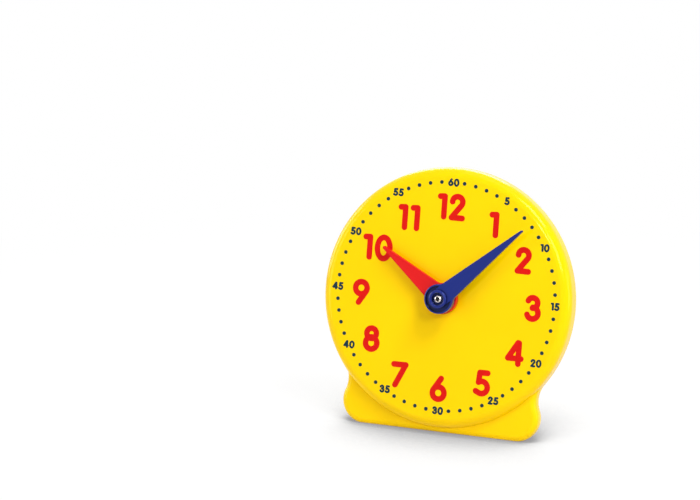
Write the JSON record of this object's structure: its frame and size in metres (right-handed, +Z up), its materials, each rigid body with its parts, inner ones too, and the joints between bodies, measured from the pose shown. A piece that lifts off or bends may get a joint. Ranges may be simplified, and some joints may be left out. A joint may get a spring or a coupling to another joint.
{
  "type": "geared teaching clock",
  "caption": "Round toy clock face on a leaning foot; turning the minute hand drives the hour hand through wheels behind the dial.",
  "frame": {"origin": "middle of the flat underside that the clock stands on", "axes": "+Z up, +X to the right of someone reading the dial, +Y from the dial towards the back; the dial leans back by 11 degrees"},
  "size_m": [0.127, 0.0391, 0.1274],
  "materials": {
    "yellow_plastic": "glossy moulded yellow",
    "red_plastic": "glossy moulded red",
    "blue_plastic": "glossy moulded dark blue",
    "red_ink": "printed ink, hour numerals",
    "dark_ink": "printed ink, minute numerals and dots",
    "white_gear_plastic": "natural acetal",
    "bright_screw": "bright nickel plate",
    "zinc_screw": "zinc plated",
    "steel_pin": "drawn steel",
    "spring_steel": "spring steel strip"
  },
  "bodies": {
    "case": {"dial_shell": "yellow_plastic", "rear_cover": "yellow_plastic", "cover_screws": "zinc_screw", "gear_plate": "white_gear_plastic", "plate_screws": "zinc_screw", "idler_pin": "steel_pin"},
    "minute": {"minute_arbor": "white_gear_plastic", "friction_washer": "spring_steel", "minute_hand": "blue_plastic", "hand_screw": "bright_screw"},
    "idler": {"idler_gear": "white_gear_plastic"},
    "hour": {"hour_wheel": "white_gear_plastic", "hour_hand": "red_plastic"}
  },
  "joints": [
    {"name": "minute_turn", "type": "hinge", "parent": "case", "child": "minute", "pos_m": [0, -0.00506, 0.0659], "axis": [0, 0.9816, -0.1908], "continuous": true},
    {"name": "idler_turn", "type": "hinge", "parent": "case", "child": "idler", "pos_m": [0, -0.00048, 0.08946], "axis": [0, 0.9816, -0.1908], "continuous": true},
    {"name": "hour_turn", "type": "hinge", "parent": "case", "child": "hour", "pos_m": [0, -0.00506, 0.0659], "axis": [0, 0.9816, -0.1908], "continuous": true}
  ],
  "couplings": [
    {"joint": "idler_turn", "follows": "minute_turn", "ratio": -0.33333},
    {"joint": "hour_turn", "follows": "minute_turn", "ratio": 0.083333}
  ]
}
